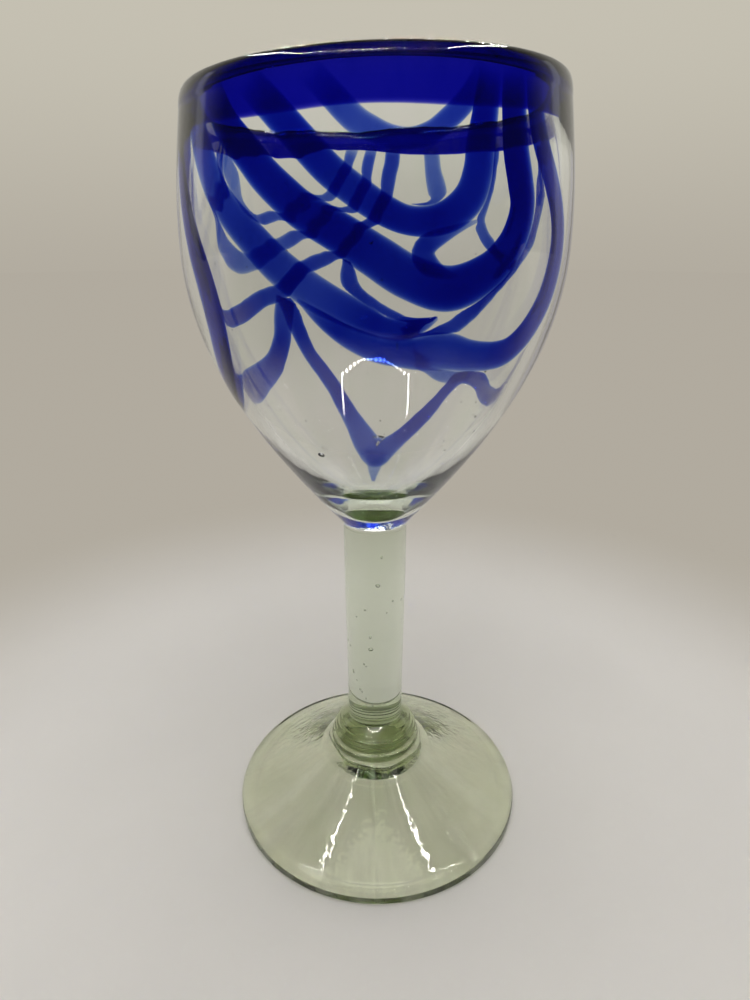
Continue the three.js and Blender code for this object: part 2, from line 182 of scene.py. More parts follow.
def slant(name, description, degrees):
    """An angle that the panel shows."""
    return bpy.props.FloatProperty(
        name=name, description=description, default=math.radians(degrees), subtype="ANGLE")


def amount(name, description, value):
    """A plain number that the panel shows."""
    return bpy.props.FloatProperty(name=name, description=description, default=value)


def tone(name, description, rgb):
    """A colour that the panel shows."""
    return bpy.props.FloatVectorProperty(name=name, description=description, default=rgb, subtype="COLOR")


class GobletBowl(bpy.types.PropertyGroup):
    """Sizes of the bowl and its lip."""

    lip_radius: length("Lip radius", "Outside radius at the drinking edge", 38)
    belly_height: length("Belly height", "Height of the widest ring above the table", 150)
    wall: length("Wall", "Thickness of the blown wall", 2.4)
    floor: length("Floor", "Thickness of glass between the stem and the hollow", 5.2)
    flare: slant("Base flare", "Lean of the wall where it leaves the stem", 41)
    lip_lean: slant("Lip lean", "Inward lean of the wall at the lip", 8.7)
    lip_tilt: slant("Lip tilt", "How far the lip leans over to one side", 1.87)
    lip_nod: slant("Lip nod", "How far the lip leans over to the back", 0.9)
    lip_rounding: length("Lip rounding", "Height over which the lip rounds off", 4)
    lip_wall: length("Lip wall", "Thickness of the wall where it swells into the lip", 3.2)
    fillet: length("Fillet", "Radius where the wall turns out of the stem", 2)
    wrap_height: length("Wrap height", "Height of the coloured lip", 8.5)
    wrap_depth: length("Wrap depth", "Thickness of colour in the lip", 0.5)


class GobletTrails(bpy.types.PropertyGroup):
    """Sizes shared by the trails."""

    relief: amount("Relief", "Share of a trail's thickness that stands out of the wall", 0.07)


class GobletFoot(bpy.types.PropertyGroup):
    """Sizes of the stem, knop and foot."""

    stem_lower_radius: length("Stem radius below", "Radius of the stem on the knop", 7.4)
    bulb_radius: length("Bulb radius", "Radius of the knop's bulb", 11.4)
    ring_height: length("Ring height", "Height of the ring under the bulb", 1.9)
    groove: length("Groove", "Depth of the groove between bulb and ring", 0.7)
    edge: length("Foot edge", "Thickness of the foot's rounded edge", 4.5)
    shoulder: length("Shoulder", "Radius of the foot's upper edge", 1.8)
    toe: length("Toe", "Radius of the foot's lower edge", 0.9)
    rest: length("Rest width", "Width of the ring that meets the table", 2.5)
    seat_radius: length("Seat radius", "Radius of the foot's top", 13.2)
    sag: length("Sag", "Hollow of the cone between seat and edge", 0.7)
    crown: length("Crown", "Thickness of glass over the foot's hollow", 6)
    hollow_radius: length("Hollow radius", "Radius of the hollow's ceiling", 14)
    shift: length("Shift", "How far the foot's edge is off the axis", 0.7)
    shrink: length("Shrink", "How much the foot falls short of its solid", 0.3)
    skirt: length("Skirt", "Height of the ragged skirt round the seat", 0.7)


class GobletGlass(bpy.types.PropertyGroup):
    """Colours and strength of the glass. A density is the absorption per metre."""

    ior: bpy.props.FloatProperty(
        name="Index", description="Refractive index of soda glass", default=1.5, min=1, max=2)
    bowl_tint: tone("Bowl", "Colour left by the bowl's glass", (0.4, 0.85, 0.3))
    bowl_density: amount("Bowl density", "Absorption of the bowl's glass per metre", 5)
    stem_tint: tone("Stem", "Colour left by the stem's glass", (0.27, 0.47, 0))
    stem_density: amount("Stem density", "Absorption of the stem's glass per metre", 20)
    foot_tint: tone("Foot", "Colour left by the foot's glass", (0.36, 0.46, 0))
    foot_density: amount("Foot density", "Absorption of the foot's glass per metre", 53)
    knop_tint: tone("Knop", "Colour left by the knop's glass", (0.29, 0.42, 0))
    knop_density: amount("Knop density", "Absorption of the knop's glass per metre", 70)
    cobalt_tint: tone("Cobalt", "Colour left by the trails", (0, 0.25, 0.86))
    cobalt_density: amount("Cobalt density", "Absorption of the trails per metre", 4800)
    lip_tint: tone("Lip", "Colour left by the lip", (0, 0, 0.86))
    lip_density: amount("Lip density", "Absorption of the thin lip colour per metre", 10000)


class GobletStage(bpy.types.PropertyGroup):
    """Floor, background and camera."""

    backdrop: tone("Backdrop", "Colour behind the goblet", (0.44, 0.405, 0.345))
    # Painted light: the backdrop is painted lighter higher up, where light from above falls on it.
    upper: tone("Upper backdrop", "Colour higher up behind the goblet", (0.557, 0.527, 0.445))
    floor: tone("Floor", "Colour of the floor", (0.74, 0.725, 0.705))
    # Painted light: the backdrop is painted brighter and bluer where it is seen through the glass.
    cast: bpy.props.FloatVectorProperty(
        name="Cast", description="How much stronger each colour of the backdrop is through the glass",
        default=(1.07, 1.09, 1.14))
    surround: amount("Surround", "Brightness of the room that polished glass mirrors", 0.03)
    camera_place: bpy.props.FloatVectorProperty(
        name="Camera place", description="Where the camera stands", default=(0, -156.7 * MM, 152.6 * MM),
        subtype="TRANSLATION", unit="LENGTH")
    camera_pitch: slant("Camera pitch", "How far the camera looks down", 21.59)
    camera_lens: amount("Camera lens", "Focal length in millimetres on a 36 mm frame", 24.48)


class GobletLight(bpy.types.PropertyGroup):
    """Soft lamps, the frame of small lights over the goblet, and the cards at its sides."""

    top_power: amount("Top lamp", "Power of the lamp over the goblet in watts", 3.6)
    front_power: amount("Front lamp", "Power of the lamp in front of the goblet in watts", 3.5)
    frame_height: length("Frame height", "Height of the frame of small lights", 400)
    frame_left: length("Frame left", "Place of the frame's left column", -175)
    frame_right: length("Frame right", "Place of the frame's right column", 168)
    frame_near: length("Frame near", "Near end of the frame's columns", -170)
    frame_far: length("Frame far", "Far end of the frame's columns", 85)
    frame_bow: length("Frame bow", "How far the frame's rows bow out in their middle", 75)
    row_pitch: length("Row pitch", "Distance from square to square in a row", 20)
    row_half: length("Row square", "Half a side of a square in a row", 3.5)
    row_level: amount("Row level", "Brightness of the squares in a row", 260)
    column_half: length("Column square", "Half a side of a square in a column", 2.5)
    column_level: amount("Column level", "Brightness of the squares in a column", 85)
    card_distance: length("Card distance", "How far the side cards stand from the goblet", 700)
    card_half: length("Card half width", "Half the width over which a side card fades out", 80)
    card_level: amount("Card level", "Brightness of the side cards", 0.8)


# Shader trees

class Value:
    """An output socket of a shader tree. Arithmetic on it adds the Math nodes that it needs."""

    def __init__(self, recipe, socket):
        self.recipe = recipe
        self.socket = socket

    def math(self, operation, first, second):
        return self.recipe.node("ShaderNodeMath", {"operation": operation}, {0: first, 1: second})

    def __add__(self, other):
        return self.math("ADD", self, other)

    def __sub__(self, other):
        return self.math("SUBTRACT", self, other)

    def __mul__(self, other):
        return self.math("MULTIPLY", self, other)

    def __rsub__(self, other):
        return self.math("SUBTRACT", other, self)

    __radd__ = __add__
    __rmul__ = __mul__


class Recipe:
    """Builds one shader tree, node by node."""

    def __init__(self, owner):
        owner.use_nodes = True
        self.tree = owner.node_tree
        self.tree.nodes.clear()

    def node(self, kind, settings=None, sockets=None, output=0):
        """Adds a node with its settings, then its socket values or links, and returns one of its outputs."""
        node = self.tree.nodes.new(kind)
        for name, value in (settings or {}).items():
            setattr(node, name, value)
        for name, value in (sockets or {}).items():
            if isinstance(value, Value):
                self.tree.links.new(value.socket, node.inputs[name])
            else:
                node.inputs[name].default_value = value
        return Value(self, node.outputs[output]) if node.outputs else None

    def blend(self, factor, first, second):
        """A colour between two colours."""
        return self.node(
            "ShaderNodeMix", {"data_type": "RGBA"}, {0: factor, 6: first, 7: second}, output=2)

    def ramp(self, value, low, high):
        """A value that rises smoothly from 0 at low to 1 at high."""
        return self.node(
            "ShaderNodeMapRange", {"interpolation_type": "SMOOTHSTEP"},
            {"Value": value, "From Min": low, "From Max": high})

    def noise(self, place, scale, detail):
        """Soft noise about 0.5 at a scale per metre."""
        return self.node("ShaderNodeTexNoise", None, {"Vector": place, "Scale": scale, "Detail": detail})

    def glass(self, base, roughness, ior, **more):
        """A surface that lets light through."""
        return self.node("ShaderNodeBsdfPrincipled", None, {
            "Base Color": base, "Roughness": roughness, "IOR": ior, "Transmission Weight": 1.0, **more})

    def unseen(self):
        """1 for rays that have met a surface, 0 for rays straight from the camera."""
        return 1 - self.node("ShaderNodeLightPath", output="Is Camera Ray")

    def mirrored(self):
        """1 for rays that a surface has mirrored or scattered, 0 for rays that only went through glass."""
        turns = self.node("ShaderNodeLightPath", output="Glossy Depth")
        scattered = self.node("ShaderNodeLightPath", output="Is Diffuse Ray")
        return self.ramp(turns + scattered, 0.0, 1.0)

    def part(self, vector, axis):
        """One coordinate of a vector."""
        return self.node("ShaderNodeSeparateXYZ", None, {0: vector}, output=axis)

    def rays(self):
        """Soft streaks from 0 to 1 that run out from the axis, as tool marks on a spun foot do."""
        place = self.node("ShaderNodeTexCoord", output=3)
        across, along = self.part(place, "X"), self.part(place, "Y")
        turn = self.node("ShaderNodeMath", {"operation": "ARCTAN2"}, {0: across, 1: along})
        spread = self.node("ShaderNodeCombineXYZ", None, {"X": turn, "Y": self.reach(place) * 12})
        return self.ramp(self.noise(spread, scale=6, detail=3.0), 0.4, 0.75)

    def reach(self, vector):
        """The length of a vector."""
        return self.node("ShaderNodeVectorMath", {"operation": "LENGTH"}, {0: vector}, output=1)

    def place(self, stretch=(1, 1, 1)):
        """Points of the object, stretched along its axes."""
        place = self.node("ShaderNodeTexCoord", output=3)
        return self.node("ShaderNodeMapping", None, {"Vector": place, "Scale": stretch})


def colour(rgb):
    """A colour as a socket takes it, with full alpha."""
    return (*rgb, 1.0)


def new_material(name):
    """An empty material, and the recipe for its shader tree."""
    material = bpy.data.materials.new(name)
    return material, Recipe(material)


def glass_material(name, ior, tint, density, streak, wave, haze=0.0, grain=320.0):
    """Polished glass that takes up colour with depth, and lets light straight on where it is fused."""
    material, recipe = new_material(name)
    flow = recipe.noise(recipe.place((1, 1, 0.25)), scale=160, detail=4.0)
    base = recipe.blend(recipe.ramp(flow, 0.35, 0.7), colour((1, 1, 1)), colour(streak))
    smudge = recipe.ramp(recipe.noise(recipe.place(), scale=90, detail=5.0), 0.62, 0.8) * 0.03
    ripple = recipe.noise(recipe.place((1, 1, 0.35)), scale=grain, detail=1.0)
    normal = recipe.node("ShaderNodeBump", None, {"Strength": wave, "Distance": 0.2 * MM, "Height": ripple})
    skin = recipe.glass(base, smudge, ior, Normal=normal)
    fused = recipe.glass(colour((1, 1, 1)), 0.0, 1.0)
    if haze:
        worn = recipe.node("ShaderNodeBsdfDiffuse", None, {"Color": colour((0.9, 0.9, 0.86))})
        skin = recipe.node("ShaderNodeMixShader", None, {0: haze * recipe.rays(), 1: skin, 2: worn})
    mask = recipe.node("ShaderNodeAttribute", {"attribute_name": JOINT_MASK}, output=2)
    surface = recipe.node("ShaderNodeMixShader", None, {0: mask, 1: skin, 2: fused})
    depth = recipe.node("ShaderNodeVolumeAbsorption", None, {"Color": colour(tint), "Density": density})
    recipe.node("ShaderNodeOutputMaterial", None, {"Surface": surface, "Volume": depth})
    return material


def cobalt_material(name, tint, density):
    """Cobalt glass melted into the wall: it only takes up colour, as the wall around it bends the light."""
    material, recipe = new_material(name)
    flow = recipe.noise(recipe.place((1, 1, 0.4)), scale=240, detail=5.0)
    base = recipe.blend(recipe.ramp(flow, 0.4, 0.75), colour((1, 1, 1)), colour((0.72, 0.8, 0.95)))
    surface = recipe.glass(base, 0.0, 1.0)
    depth = recipe.node("ShaderNodeVolumeAbsorption", None, {"Color": colour(tint), "Density": density})
    recipe.node("ShaderNodeOutputMaterial", None, {"Surface": surface, "Volume": depth})
    return material


# Curves and meshes

def bezier(points, count):
    """Points along a cubic Bezier curve."""
    first, second, third, last = np.array(points, float)
    share = np.linspace(0, 1, count)[:, None]
    rest = 1 - share
    return rest**3 * first + 3 * rest**2 * share * second + 3 * rest * share**2 * third + share**3 * last


def dip(start, end, sag, count):
    """Points from start to end along a curve that sags below the straight line."""
    start, end = np.array(start), np.array(end)
    share = np.linspace(0, 1, count)[:, None]
    return start + (end - start) * share + np.array((0, -4 * sag)) * share * (1 - share)


def arc(centre, radius, start, end, count):
    """Points of an arc in the profile plane, with angles in degrees from the outward direction.

    The radius is one length for a circle, or an outward and an upward one for an ellipse.
    """
    angle = np.radians(np.linspace(start, end, count))
    return np.array(centre) + np.array(radius) * np.stack([np.cos(angle), np.sin(angle)], 1)


def even(line, step):
    """The same line with points a step apart."""
    run = np.concatenate([[0], np.cumsum(np.linalg.norm(np.diff(line, axis=0), axis=1))])
    stops = np.linspace(0, run[-1], max(2, round(run[-1] / step) + 1))
    return np.stack([np.interp(stops, run, column) for column in line.T], 1)


def smooth_line(points, per_span):
    """A Catmull-Rom line through points of any number of columns."""
    points = np.array(points, float)
    padded = np.vstack([2 * points[0] - points[1], points, 2 * points[-1] - points[-2]])
    share = np.linspace(0, 1, per_span, endpoint=False)[:, None]
    spans = []
    for a, b, c, d in zip(padded, padded[1:], padded[2:], padded[3:]):
        bend = 2 * a - 5 * b + 4 * c - d
        twist = 3 * b - a - 3 * c + d
        spans.append(b + 0.5 * ((c - a) * share + bend * share**2 + twist * share**3))
    return np.vstack([*spans, points[-1:]])


def all_round(sides):
    """Angles of the sides of a ring, as one row."""
    return np.linspace(0, 2 * math.pi, sides, endpoint=False)[None, :]


def ring_points(radius, height, angle):
    """Points of rings about the goblet's axis. Angle 0 faces the front and grows to the right."""
    return np.stack([radius * np.sin(angle), -radius * np.cos(angle), height + 0 * angle], -1)


def grid_faces(rows, columns, closed_rows=False):
    """Quads of a grid whose columns close round, and whose rows close too if asked."""
    faces = []
    for row in range(rows if closed_rows else rows - 1):
        near = row * columns
        far = (row + 1) % rows * columns
        for column in range(columns):
            other = (column + 1) % columns
            faces.append((near + column, near + other, far + other, far + column))
    return faces


def fan_faces(pole, start, columns, outward):
    """Triangles from a pole to a ring."""
    faces = []
    for column in range(columns):
        pair = (start + column, start + (column + 1) % columns)
        faces.append((pole, *pair) if outward else (pole, *reversed(pair)))
    return faces


def mesh_object(name, points, faces, joint_test=None):
    """A smooth mesh object, with a mask on the faces where it is fused to its neighbour."""
    mesh = bpy.data.meshes.new(name)
    mesh.from_pydata(points.tolist(), [], faces)
    mesh.validate()
    mesh.shade_smooth()
    mesh.set_sharp_from_angle(angle=math.radians(50))
    if joint_test is not None:
        mask = mesh.attributes.new(JOINT_MASK, "FLOAT", "FACE")
        centres = np.zeros(len(mesh.polygons) * 3)
        mesh.polygons.foreach_get("center", centres)
        mask.data.foreach_set("value", joint_test(centres.reshape(-1, 3)).astype(np.float32))
    piece = bpy.data.objects.new(name, mesh)
    bpy.context.scene.collection.objects.link(piece)
    return piece


def level(start, end, height, count):
    """Points of a level stretch of a profile between two radii, without its ends."""
    radius = np.linspace(start, end, count + 2)[1:-1]
    return np.stack([radius, np.full(count, height)], 1)


def capped(rings, first_pole, last_pole):
    """Points and faces of a closed solid: rings from one pole to the other."""
    rows, columns, _ = rings.shape
    points = np.vstack([rings.reshape(-1, 3), first_pole, last_pole])
    faces = grid_faces(rows, columns)
    faces += fan_faces(rows * columns, 0, columns, False)
    faces += fan_faces(rows * columns + 1, (rows - 1) * columns, columns, True)
    return points, faces


def turned(rings, low, high):
    """Points and faces of a closed turned solid, with its poles on the axis at two heights."""
    return capped(rings, (0, 0, low), (0, 0, high))


def turn_profile(profile, sides, wobble=0.0, phase=0.0):
    """Rings of a profile turned about the axis, out of round by a wobble."""
    angle = all_round(sides)
    radius = profile[:, :1]
    height = profile[:, 1:]
    sway = np.sin(2 * angle + phase + height * 70) + 0.6 * np.sin(3 * angle - phase + height * 130)
    return ring_points(radius + wobble * sway * np.minimum(1, radius / (3 * MM)), height, angle)


def hollow_seeds(random, centres, radii, stretch):
    """Points and faces of small bubbles: closed skins that face inwards, one at each centre."""
    rows, columns = 5, 8
    lat = np.linspace(-math.pi / 2, math.pi / 2, rows + 2)[1:-1, None]
    lon = all_round(columns)
    unit = np.stack([np.cos(lat) * np.cos(lon), np.cos(lat) * np.sin(lon), np.sin(lat) + 0 * lon], -1)
    skin, outward = turned(unit, -1, 1)
    inward = [face[::-1] for face in outward]
    points, faces = [], []
    for index, (centre, radius) in enumerate(zip(centres, radii)):
        tall = random.uniform(*stretch)
        points.append(skin * (radius, radius, radius * tall) + centre)
        faces += [tuple(corner + index * len(skin) for corner in face) for face in inward]
    return np.vstack(points), faces


def joined(first, second):
    """One list of points and faces from two."""
    points, faces = first
    more_points, more_faces = second
    shift = len(points)
    moved = [tuple(corner + shift for corner in face) for face in more_faces]
    return np.vstack([points, more_points]), faces + moved


def flat_ends(low, high=math.inf):
    """A test for the faces at the heights where a piece is fused to its neighbours."""
    def test(centres):
        return (centres[:, 2] < low + HAIRLINE / 2) | (centres[:, 2] > high - HAIRLINE / 2)
    return test


def show(piece, material, slot, *nodes):
    """Finishes a piece: its material, the body it rides on and the nodes it stands for. The slot is not used.
    """
    piece.data.materials.append(material)
    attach(piece, BODY)
    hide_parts(*nodes)


# The bowl's wall

class Wall:
    """The outside of the bowl as a map: an angle round the axis, and a run up the wall from its base."""

    def __init__(self, sizes):
        base = np.array((STEM_RADIUS, BOWL_BASE))
        belly = np.array((BELLY_RADIUS, sizes.belly_height))
        lip = np.array((sizes.lip_radius, LIP_TOP))
        lean = np.array((math.sin(sizes.lip_lean), -math.cos(sizes.lip_lean)))
        flare = np.array((math.sin(sizes.flare), math.cos(sizes.flare)))
        turn = arc(base + (sizes.fillet, 0), sizes.fillet, 180, 180 - math.degrees(sizes.flare), 12)
        base_pull, belly_drop, belly_rise, lip_pull = (pull * MM for pull in (25.6, 24.4, 9.3, 13.5))
        lower = bezier((turn[-1], turn[-1] + base_pull * flare, belly - (0, belly_drop), belly), 200)
        upper = bezier((belly, belly + (0, belly_rise), lip + lip_pull * lean, lip), 100)
        line = np.vstack([turn, lower[1:], upper[1:]])
        self.radius, self.height = line.T
        self.run = np.concatenate([[0], np.cumsum(np.hypot(*np.diff(line, axis=0).T))])
        self.out = np.gradient(self.height, self.run)
        self.down = np.gradient(self.radius, self.run)
        self.sizes = sizes

    def run_at(self, height):
        return np.interp(height, self.height, self.run)

    def radius_at(self, run):
        return np.interp(run, self.run, self.radius)

    def depth_at(self, height):
        """Thickness of the upper wall, which swells towards the lip."""
        swelling = 6 * MM
        below = (LIP_TOP - self.sizes.lip_rounding - height) / swelling
        return self.sizes.wall + (self.sizes.lip_wall - self.sizes.wall) * np.exp(-(below**2))

    def place(self, angle, run, lift):
        """Points of the leaning bowl, at a lift off its wall."""
        radius = self.radius_at(run) + lift * np.interp(run, self.run, self.out)
        height = np.interp(run, self.run, self.height) - lift * np.interp(run, self.run, self.down)
        return self.settle(ring_points(radius, height, angle))

    def settle(self, points):
        """Leans the upper bowl over, as a hand-blown lip does."""
        points = points.copy()
        share = np.clip((points[..., 2] - BOWL_BASE) / (LIP_TOP - BOWL_BASE), 0, 1)
        tilt = points[..., 0] * math.tan(self.sizes.lip_tilt)
        nod = (points[..., 1] + self.sizes.lip_radius) * math.tan(self.sizes.lip_nod)
        points[..., 2] += (tilt - nod) * share**2
        return points


class Trail:
    """One trail as a smooth line on the wall: angle, run, half width and thickness at close steps."""

    def __init__(self, wall, first, last, route):
        step, wave_length, melt_length = 0.7 * MM, 4 * MM, 4 * MM
        points = [(math.radians(a) * BELLY_RADIUS, wall.run_at(h * MM), w * MM / 2) for a, h, w in route]
        line = even(smooth_line(points, 16), step)
        self.angle = line[:, 0] / BELLY_RADIUS
        self.run = line[:, 1]
        self.half = line[:, 2]
        # The trail wavers in thickness, melts away under the lip, and is thinner where it is wide.
        waver = 1 + 0.1 * np.sin(np.arange(len(line)) * step / wave_length + 9 * first)
        melted = np.clip((wall.run_at(LIP_TOP) - self.run) / melt_length - 0.9, 0.02, 1)
        thinned = (np.median(self.half) / self.half) ** 0.6
        laid = np.linspace(first, last, len(line)) * MM * waver * thinned
        self.thick = np.minimum(laid, 0.6 * self.half) * melted

    def share_aside(self, wall, angle, run):
        """How far points lie from the trail's middle line, as a share of its half width there."""
        nearest = np.full(angle.shape, np.inf)
        radius = wall.radius_at(run)
        for own_angle, own_run, half in zip(self.angle, self.run, self.half):
            turn = (angle - own_angle + math.pi) % (2 * math.pi) - math.pi
            aside = np.hypot(turn * radius, run - own_run) / half
            np.minimum(nearest, aside, out=nearest)
        return nearest


def swell(share):
    """Cross-section of a trail's relief: flat on top, 1 along its middle, 0 from its edges out."""
    return np.clip(1 - share**4, 0, None) ** 2


def build_trails(wall):
    """Every strand of every trail, by the name of its node."""
    return {name: [Trail(wall, *strand) for strand in (trail, *STRANDS.get(name, ()))]
            for name, trail in TRAILS.items()}


def ribbon(wall, trail):
    """A closed lens of colour along a trail, from just under the skin down into the wall."""
    nudge = 0.1 * MM
    across = np.cos(np.linspace(0, math.pi, 13))
    back = across[-2:0:-1]
    sides = np.concatenate([across, back])
    sunk = np.concatenate([0 * across, (1 - back**4) ** 0.7])
    here = wall.place(trail.angle, trail.run, 0)
    heading = np.gradient(here, axis=0)
    heading /= np.linalg.norm(heading, axis=1)[:, None]
    round_way = np.stack([np.cos(trail.angle), np.sin(trail.angle), 0 * trail.angle], 1)
    up_way = wall.place(trail.angle, trail.run + nudge, 0) - wall.place(trail.angle, trail.run - nudge, 0)
    up_way /= np.linalg.norm(up_way, axis=1)[:, None]
    ahead = np.stack([(heading * round_way).sum(1), (heading * up_way).sum(1)], 1)
    ahead /= np.linalg.norm(ahead, axis=1)[:, None]
    aside = sides[None, :] * trail.half[:, None]
    radius = wall.radius_at(trail.run)[:, None]
    angle = trail.angle[:, None] - ahead[:, 1:] * aside / radius
    run = trail.run[:, None] + ahead[:, :1] * aside
    rings = wall.place(angle, run, -SKIN - sunk[None, :] * trail.thick[:, None])
    return capped(rings, rings[0].mean(0), rings[-1].mean(0))


def bowl_outside(wall, relief, angle):
    """Rings of the bowl's outside, which swells over each trail and runs smooth under the lip."""
    step, smooth_run = 0.5 * MM, 14 * MM
    run = np.arange(0, wall.run_at(LIP_TOP - wall.sizes.lip_rounding), step)[:, None]
    around, along = np.broadcast_arrays(angle, run)
    lift = np.zeros(around.shape)
    for strand in sum(build_trails(wall).values(), []):
        rise = relief * strand.thick.max() * swell(strand.share_aside(wall, around, along))
        np.maximum(lift, rise, out=lift)
    fade = np.clip((wall.run_at(LIP_TOP) - along) / smooth_run - 0.6, 0, 1)
    return wall.place(around, along, lift * fade)


def bowl_inside(wall, floor):
    """Profile of the bowl's inside, over the lip and down to the floor of its hollow."""
    sizes = wall.sizes
    shoulder = LIP_TOP - sizes.lip_rounding
    half = sizes.lip_wall / 2
    lip_centre = (wall.radius_at(wall.run_at(shoulder)) - half, shoulder)
    lip = arc(lip_centre, (half, sizes.lip_rounding), 0, 180, 25)
    height = np.linspace(shoulder, sizes.belly_height, 30)[1:]
    upper = np.stack([wall.radius_at(wall.run_at(height)) - wall.depth_at(height), height], 1)
    belly = np.array((BELLY_RADIUS - sizes.wall, sizes.belly_height))
    belly_drop, floor_pull = 28 * MM, 11 * MM
    hollow = bezier((belly, belly - (0, belly_drop), (floor_pull, floor), (0, floor)), 200)
    return np.vstack([lip, upper, even(hollow, MM)[1:-1]])


def bowl_seeds(wall):
    """Points and faces of the seeds in the bowl's wall, and of one larger blister."""
    count = 70
    low_run, high_run = 8 * MM, 78 * MM
    least_depth, most_depth = 0.7 * MM, 2.3 * MM
    random = np.random.default_rng(SEED)
    angle = random.uniform(-math.pi, math.pi, count)
    run = random.uniform(low_run, high_run, count)
    centres = wall.place(angle, run, -random.uniform(least_depth, most_depth, count))
    seeds = hollow_seeds(random, centres, random.uniform(*SEED_RADII, count), (0.6, 1.2))
    blister_turn, blister_height = np.radians([-24]), 110 * MM
    blister_depth, blister_radius = 0.9 * MM, 0.75 * MM
    centre = wall.place(blister_turn, wall.run_at(blister_height), -blister_depth)
    return joined(seeds, hollow_seeds(random, centre, [blister_radius], (0.8, 0.9)))


class GOBLET_OT_bowl(bpy.types.Operator):
    """Blow the clear bowl, swelling over its trails, with seeds in its wall"""

    bl_idname = "goblet.bowl"
    bl_label = "Bowl"

    def execute(self, context):
        glass = context.scene.goblet_glass
        wall = Wall(context.scene.goblet_bowl)
        sides = 480
        low = BOWL_BASE + HAIRLINE
        floor = BOWL_BASE + wall.sizes.floor
        disc = turn_profile(level(0, STEM_RADIUS, low, 5), sides)
        outside = bowl_outside(wall, context.scene.goblet_trails.relief, all_round(sides))
        outside[0, :, 2] = low
        inside = wall.settle(turn_profile(bowl_inside(wall, floor), sides))
        solid = turned(np.concatenate([disc, outside, inside]), low, floor)
        piece = mesh_object("bowl_glass", *joined(solid, bowl_seeds(wall)), flat_ends(low))
        material = glass_material(
            "clear_bowl_glass", glass.ior, glass.bowl_tint, glass.bowl_density, streak=(0.97, 0.985, 0.96),
            wave=0.05)
        show(piece, material, "clear_glass", "bowl")
        return {"FINISHED"}


class GOBLET_OT_lip_wrap(bpy.types.Operator):
    """Lay the band of cobalt into the lip"""

    bl_idname = "goblet.lip_wrap"
    bl_label = "Lip wrap"

    def execute(self, context):
        sizes = context.scene.goblet_bowl
        glass = context.scene.goblet_glass
        wall = Wall(sizes)
        sides = 360
        angle = all_round(sides)
        top = wall.run_at(LIP_TOP - sizes.lip_rounding)
        # The band is narrower behind, and its lower edge is wavy.
        narrow_middle, narrow_spread, narrow_rise, wave = math.radians(188), 0.42, 3.2 * MM, 0.2 * MM
        narrowed = narrow_rise * np.exp(-(((narrow_middle - angle) / narrow_spread) ** 2))
        wavy = wave * (np.sin(3 * angle + 1) + np.sin(7 * angle + 2))
        start = wall.run_at(LIP_TOP - sizes.wrap_height) + narrowed + wavy
        share = np.linspace(0, 1, 16)[:, None]
        run = start + (top - start) * share
        around = np.broadcast_to(angle, run.shape)
        inner = SKIN - wall.depth_at(np.interp(run, wall.run, wall.height))
        back = wall.place(around, run, inner)[::-1]
        half = sizes.lip_wall / 2
        middle = wall.radius_at(top) - half
        centre = (middle, LIP_TOP - sizes.lip_rounding)
        over = np.array((half - SKIN, sizes.lip_rounding - SKIN))
        under = over - sizes.wrap_depth
        crest = wall.settle(turn_profile(arc(centre, over, 30, 175, 21), sides))
        hollow = wall.settle(turn_profile(arc(centre, under, 175, 30, 21), sides))
        thick = sizes.wrap_depth * np.clip(share * 5, 0, 1) ** 0.5 * (1.25 - 0.25 * np.cos(angle))
        outer = wall.place(around, run, inner + thick)
        rings = np.concatenate([outer, hollow, crest, back[:-1]])
        rows, columns, _ = rings.shape
        piece = mesh_object("lip_band", rings.reshape(-1, 3), grid_faces(rows, columns, True))
        material = cobalt_material("cobalt_lip_glass", glass.lip_tint, glass.lip_density)
        show(piece, material, "cobalt_glass", "lip_wrap")
        return {"FINISHED"}


class GOBLET_OT_trails(bpy.types.Operator):
    """Lay the looping cobalt trails into the wall"""

    bl_idname = "goblet.trails"
    bl_label = "Trails"

    def execute(self, context):
        glass = context.scene.goblet_glass
        wall = Wall(context.scene.goblet_bowl)
        material = cobalt_material("cobalt_trail_glass", glass.cobalt_tint, glass.cobalt_density)
        for name, strands in build_trails(wall).items():
            for index, strand in enumerate(strands):
                piece = mesh_object(f"{name}_colour_{index}", *ribbon(wall, strand))
                show(piece, material, "cobalt_glass", name)
        return {"FINISHED"}


class GOBLET_OT_stem(bpy.types.Operator):
    """Draw the solid stem, with seeds in it"""

    bl_idname = "goblet.stem"
    bl_label = "Stem"

    def execute(self, context):
        sizes = context.scene.goblet_foot
        glass = context.scene.goblet_glass
        low, high = STEM_BASE + HAIRLINE, BOWL_BASE - HAIRLINE
        middle = (low + high) / 2
        side = bezier(((sizes.stem_lower_radius, low), (sizes.stem_lower_radius, middle),
                       (STEM_RADIUS, middle), (STEM_RADIUS, high)), 60)
        under = level(0, sizes.stem_lower_radius, low, 4)
        over = level(STEM_RADIUS, 0, high, 4)
        solid = turned(turn_profile(np.vstack([under, side, over]), 128), low, high)
        random = np.random.default_rng(SEED + 1)
        count, seed_reach, end_room = 26, 6.4 * MM, 2 * MM
        turn = random.uniform(-math.pi, math.pi, count)
        out = seed_reach * np.sqrt(random.uniform(0, 1, count))
        height = random.uniform(low + end_room, high - end_room, count)
        centres = ring_points(out, height, turn)
        solid = joined(solid, hollow_seeds(random, centres, random.uniform(*SEED_RADII, count), (1, 2.4)))
        piece = mesh_object("stem_glass", *solid, flat_ends(low, high))
        material = glass_material(
            "clear_stem_glass", glass.ior, glass.stem_tint, glass.stem_density, streak=(0.97, 0.985, 0.96),
            wave=0.05)
        show(piece, material, "clear_glass", "stem")
        return {"FINISHED"}


